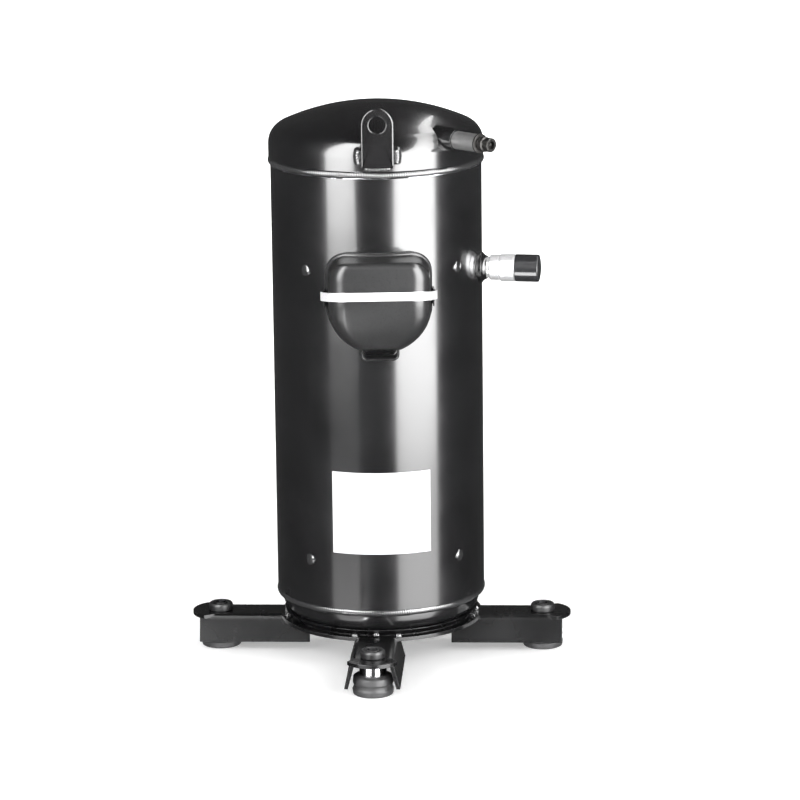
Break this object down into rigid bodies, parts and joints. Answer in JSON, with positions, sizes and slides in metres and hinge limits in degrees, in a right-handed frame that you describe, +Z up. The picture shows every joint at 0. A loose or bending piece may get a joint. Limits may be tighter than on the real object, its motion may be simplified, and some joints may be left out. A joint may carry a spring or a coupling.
{
  "type": "refrigeration rotary compressor",
  "caption": "Tall black hermetic scroll-type refrigeration compressor: welded shell with domed cap, lug, strapped terminal cover, side suction and top discharge ports, rubber-footed cross base.",
  "frame": {"origin": "on the shell axis, in the plane that the four rubber feet stand on", "axes": "+Z up along the shell axis, -Y the front arm, under the terminal cover and nameplate; the suction port points to +X"},
  "size_m": [0.316, 0.316, 0.4667],
  "materials": {
    "shell_paint": "gloss black enamel",
    "base_paint": "semi-gloss black enamel",
    "weld_paint": "black enamel over rippled weld metal",
    "lug_paint": "semi-gloss black enamel",
    "foot_rubber": "black moulded rubber",
    "zinc_plate": "bright zinc plate",
    "nameplate_film": "white printed film, blank",
    "plated_fitting": "bright plated, turned",
    "cap_plastic": "black moulded plastic",
    "stub_steel": "drawn, dull",
    "valve_metal": "nickel-plated brass",
    "cover_plastic": "black moulded plastic, gloss",
    "gasket_rubber": "black sheet rubber",
    "strap_steel": "bright spring steel",
    "terminal_steel": "pressed steel, satin",
    "terminal_glass": "fused glass",
    "pin_metal": "copper-cored steel pin",
    "block_plastic": "moulded, matte",
    "brass_screw": "plain brass",
    "scroll_iron": "ground iron",
    "frame_iron": "cast, machined faces",
    "bush_bronze": "turned bronze",
    "bolt_steel": "black oxide",
    "oldham_alloy": "die cast, machined",
    "machined_steel": "machined",
    "lamination_steel": "stacked laminations",
    "cast_aluminium": "die cast",
    "winding_copper": "enamelled copper wire, varnished",
    "lead_sleeve": "sleeved lead",
    "protector_can": "phenolic can",
    "magnet_ferrite": "sintered ferrite"
  },
  "bodies": {
    "casing": {"shell_body": "shell_paint", "top_cap": "shell_paint", "bottom_bowl": "shell_paint", "base_frame": "base_paint", "plug_welds": "weld_paint", "top_seam_weld": "weld_paint", "bottom_seam_weld": "weld_paint", "base_welds": "weld_paint", "lug_weld": "weld_paint", "lifting_lug": "lug_paint", "separator_plate": "machined_steel", "rubber_feet": "foot_rubber", "mount_caps": "foot_rubber", "mount_collars": "zinc_plate", "mount_sleeves": "zinc_plate", "nameplate": "nameplate_film", "suction_collar": "shell_paint", "suction_fitting": "plated_fitting", "discharge_collar": "shell_paint", "discharge_stub": "stub_steel", "service_valve_body": "valve_metal", "cover_gasket": "gasket_rubber", "strap_brackets": "base_paint", "terminal_cup": "terminal_steel", "terminal_glass": "terminal_glass", "terminal_pins": "pin_metal", "terminal_block": "block_plastic", "lead_connector": "block_plastic", "terminal_fence": "base_paint", "earth_screw": "brass_screw", "fixed_scroll": "scroll_iron", "scroll_bolts": "bolt_steel", "main_frame": "frame_iron", "main_bush": "bush_bronze", "floating_seal": "machined_steel", "valve_guard": "machined_steel", "valve_guard_screws": "bolt_steel", "stator_core": "lamination_steel", "stator_winding": "winding_copper", "motor_leads": "lead_sleeve", "motor_protector": "protector_can", "suction_baffle": "machined_steel", "lower_frame": "frame_iron", "lower_bush": "bush_bronze", "thrust_washer": "machined_steel", "chip_magnet": "magnet_ferrite"},
    "shaft": {"crankshaft": "machined_steel", "rotor_core": "lamination_steel", "rotor_end_rings": "cast_aluminium", "upper_balance_weight": "bush_bronze", "lower_balance_weight": "bush_bronze", "oil_pickup": "machined_steel"},
    "orbiter": {"orbiting_scroll": "scroll_iron", "orbiting_bush": "bush_bronze"},
    "oldham": {"oldham_ring": "oldham_alloy"},
    "valve_disc": {"discharge_valve_disc": "machined_steel"},
    "cover": {"terminal_cover": "cover_plastic"},
    "strap": {"cover_strap": "strap_steel"},
    "dust_cap": {"suction_dust_cap": "cap_plastic"},
    "valve_pin": {"service_valve_pin": "valve_metal"}
  },
  "joints": [
    {"name": "shaft_spin", "type": "hinge", "parent": "casing", "child": "shaft", "pos_m": [0, 0, 0.2], "axis": [0, 0, 1], "continuous": true},
    {"name": "scroll_orbit", "type": "hinge", "parent": "shaft", "child": "orbiter", "pos_m": [0.0042, 0, 0.335], "axis": [0, 0, 1], "continuous": true},
    {"name": "oldham_turn", "type": "hinge", "parent": "shaft", "child": "oldham", "pos_m": [0.0021, 0, 0.341], "axis": [0, 0, 1], "continuous": true},
    {"name": "discharge_valve_lift", "type": "slide", "parent": "casing", "child": "valve_disc", "axis": [0, 0, 1], "range_m": [0, 0.0025]},
    {"name": "cover_slide", "type": "slide", "parent": "casing", "child": "cover", "axis": [0.0698, -0.9976, 0], "range_m": [0, 0.06]},
    {"name": "strap_slide", "type": "slide", "parent": "cover", "child": "strap", "axis": [0.0698, -0.9976, 0], "range_m": [0, 0.05]},
    {"name": "dust_cap_slide", "type": "slide", "parent": "casing", "child": "dust_cap", "axis": [0.993, -0.1184, 0], "range_m": [0, 0.04]},
    {"name": "valve_pin_press", "type": "slide", "parent": "casing", "child": "valve_pin", "axis": [-0.7314, 0.682, 0], "range_m": [0, 0.0015], "stiffness_N_per_m": 400, "springref_m": -0.002}
  ],
  "couplings": [
    {"joint": "scroll_orbit", "follows": "shaft_spin", "ratio": -1},
    {"joint": "oldham_turn", "follows": "shaft_spin", "ratio": -1}
  ]
}
